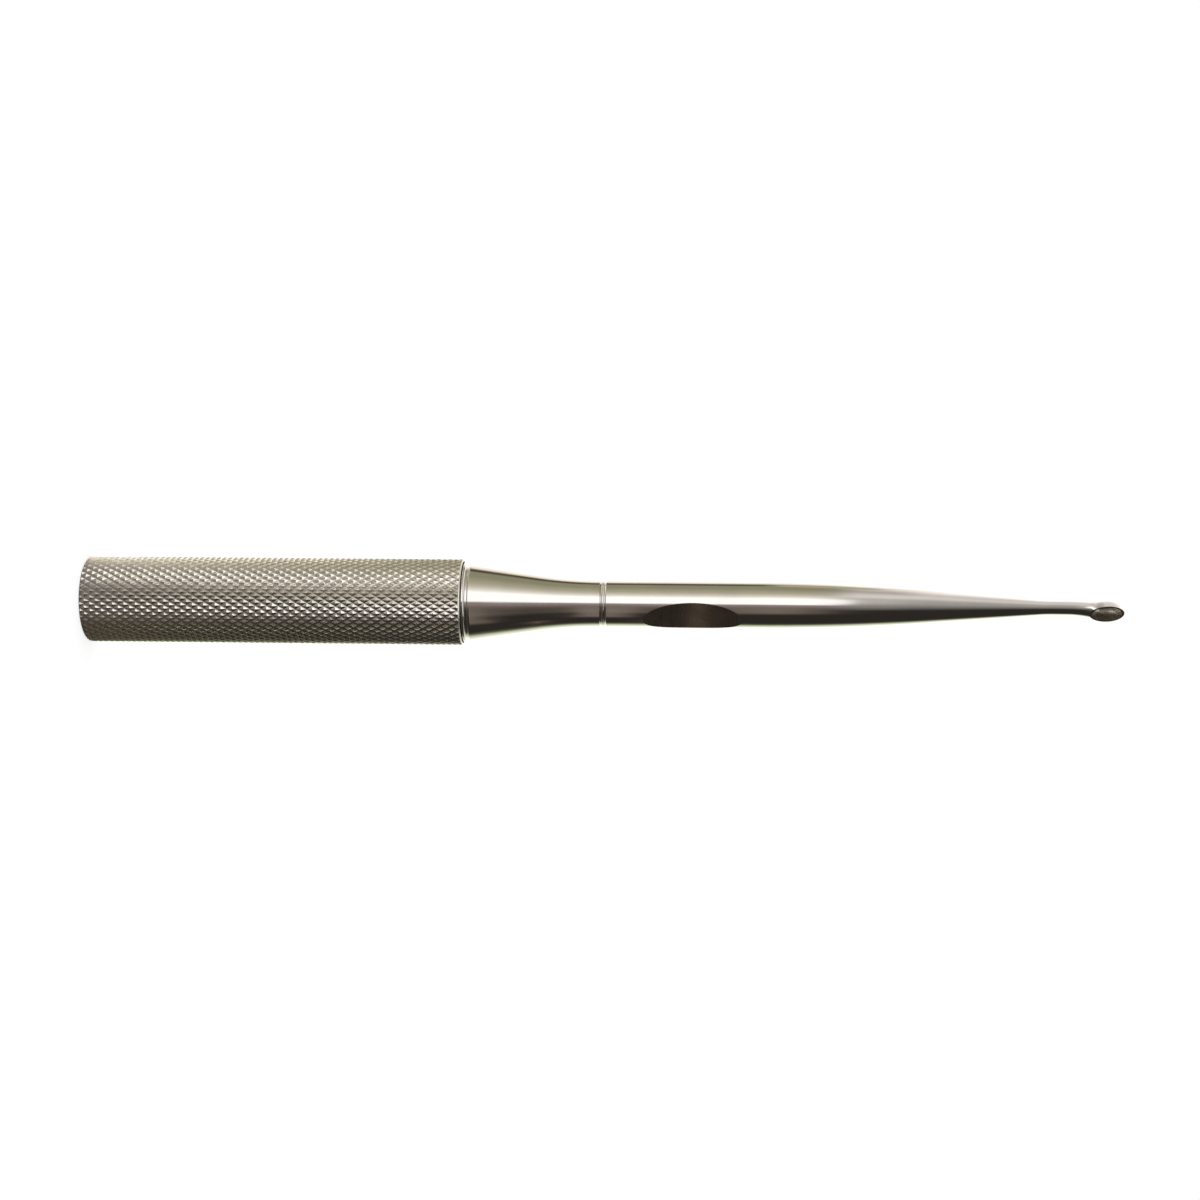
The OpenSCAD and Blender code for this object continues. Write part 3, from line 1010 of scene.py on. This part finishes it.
def unseen(obj):
    """Leave an object to reflections alone."""
    obj.visible_camera = False
    obj.visible_shadow = False
    obj.visible_diffuse = False


class MakeStage(bpy.types.Operator):
    """Set up the floor, the backdrop, the light tent and the camera."""

    bl_idname = "curette.make_stage"
    bl_label = "Make Stage"

    def execute(self, context):
        look = context.scene.curette_stage
        self.make_floor(look)
        self.make_world()
        self.make_tent(look)
        self.make_camera(look)
        scene = context.scene
        scene.view_settings.view_transform = "Standard"
        return {"FINISHED"}

    def make_floor(self, look):
        """A pale floor that keeps the shadow but shows white."""
        put_down_all()
        bpy.ops.mesh.primitive_plane_add(size=look.floor_size, location=(0, 0, 0))
        floor = bpy.context.object
        floor.name = "floor"
        material = bpy.data.materials.new("Pale Floor")
        material.use_nodes = True
        shader = material.node_tree.nodes["Principled BSDF"]
        shader.inputs["Base Color"].default_value = (0.58, 0.58, 0.58, 1.0)
        shader.inputs["Roughness"].default_value = 0.9
        shader.inputs["Specular IOR Level"].default_value = 0.0
        shader.inputs["Emission Color"].default_value = (1.0, 1.0, 1.0, 1.0)
        shine = math_node(material.node_tree, "MULTIPLY", shown_white(material.node_tree),
                          look.floor_shine)
        material.node_tree.links.new(shine, shader.inputs["Emission Strength"])
        give(floor, material)

    def make_world(self):
        """A white backdrop, and the same soft light from all round."""
        world = bpy.data.worlds.new("White Backdrop")
        bpy.context.scene.world = world
        world.use_nodes = True
        tree = world.node_tree
        background = tree.nodes["Background"]
        level = tree.nodes.new("ShaderNodeMapRange")
        level.inputs["To Min"].default_value = 0.8
        level.inputs["To Max"].default_value = 1.0
        tree.links.new(shown_white(tree), level.inputs["Value"])
        background.inputs["Color"].default_value = (1.0, 1.0, 1.0, 1.0)
        tree.links.new(level.outputs["Result"], background.inputs["Strength"])

    def make_tent(self, look):
        """A tent round the object, a bright lid above and a dull mat below, for the steel to show."""
        put_down_all()
        bpy.ops.mesh.primitive_cylinder_add(
            vertices=128, radius=look.tent_r, depth=look.tent_high, end_fill_type="NOTHING",
            location=(0, 0, look.tent_high / 2))
        tent = settle("tent")
        give(tent, tent_cloth(look))
        unseen(tent)
        put_down_all()
        bpy.ops.mesh.primitive_circle_add(
            vertices=64, radius=look.tent_r, fill_type="NGON", location=(0, 0, look.tent_high))
        lid = settle("tent_lid")
        white = bpy.data.materials.new("Tent Lid")
        white.use_nodes = True
        shader = white.node_tree.nodes["Principled BSDF"]
        shader.inputs["Emission Color"].default_value = (1.0, 1.0, 0.98, 1.0)
        shader.inputs["Emission Strength"].default_value = 1.5
        give(lid, white)
        unseen(lid)
        put_down_all()
        bpy.ops.mesh.primitive_circle_add(
            vertices=96, radius=look.tent_r, fill_type="NGON", location=(0, 0, look.mat_rise))
        mat = settle("tent_mat")
        give(mat, mat_cloth(look))
        unseen(mat)

    def make_camera(self, look):
        """The camera at the photograph's place, with the shaft lying across the picture."""
        out = look.view_azimuth
        side = Vector((math.sin(out), -math.cos(out), 0.0))
        along = Vector((0.0, 0.0, 1.0))
        back = math.cos(look.view_yaw) * side + math.sin(look.view_yaw) * along
        right = (along - along.dot(back) * back).normalized()
        up = back.cross(right)
        rolled_up = math.cos(look.view_roll) * up - math.sin(look.view_roll) * right
        rolled_right = math.cos(look.view_roll) * right + math.sin(look.view_roll) * up
        aim = Vector((0.0, 0.0, look.middle_z))
        camera_data = bpy.data.cameras.new("camera")
        camera_data.sensor_width = 36.0
        camera_data.lens = 63.0
        camera_data.clip_start = 0.01
        camera = bpy.data.objects.new("camera", camera_data)
        bpy.context.scene.collection.objects.link(camera)
        matrix = camera.matrix_world.copy()
        for row in range(3):
            matrix[row][0] = rolled_right[row]
            matrix[row][1] = rolled_up[row]
            matrix[row][2] = back[row]
            matrix[row][3] = (aim + back * look.distance + rolled_up * look.lift)[row]
        camera.matrix_world = matrix
        bpy.context.scene.camera = camera


class CurettePanel(bpy.types.Panel):
    """The sizes, colours and steps of the curette."""

    bl_idname = "VIEW3D_PT_curette"
    bl_label = "Spinal Fusion Curette"
    bl_space_type = "VIEW_3D"
    bl_region_type = "UI"
    bl_category = "Curette"

    def draw(self, context):
        """List each group's values and each step's button."""
        for group, steps in PANEL_ROWS:
            values = getattr(context.scene, group)
            box = self.layout.box()
            for name in values.__annotations__:
                box.prop(values, name)
            for step in steps:
                box.operator(step)


PANEL_ROWS = (
    ("curette_handle", ("curette.make_handle", "curette.make_end_cap")),
    ("curette_nose", ("curette.make_nose",)),
    ("curette_shaft", ("curette.make_shaft",)),
    ("curette_stage", ("curette.make_stage",)),
)
GROUPS = {
    "curette_handle": HandleSizes,
    "curette_nose": NoseSizes,
    "curette_shaft": ShaftSizes,
    "curette_stage": StageLook,
}
CLASSES = (HandleSizes, NoseSizes, ShaftSizes, StageLook, MakeHandle, MakeEndCap, MakeNose,
           MakeShaft, MakeStage, CurettePanel)


def register():
    """Register the classes and hang the property groups on the scene."""
    for cls in CLASSES:
        bpy.utils.register_class(cls)
    for name, group in GROUPS.items():
        setattr(bpy.types.Scene, name, bpy.props.PointerProperty(type=group))


def unregister():
    """Take the property groups off the scene and the classes out again."""
    for name in GROUPS:
        delattr(bpy.types.Scene, name)
    for cls in reversed(CLASSES):
        bpy.utils.unregister_class(cls)


def main():
    """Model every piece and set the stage."""
    register()
    bpy.ops.curette.make_handle()
    bpy.ops.curette.make_end_cap()
    bpy.ops.curette.make_nose()
    bpy.ops.curette.make_shaft()
    bpy.ops.curette.make_stage()
    put_down_all()


if __name__ == "__main__":
    main()
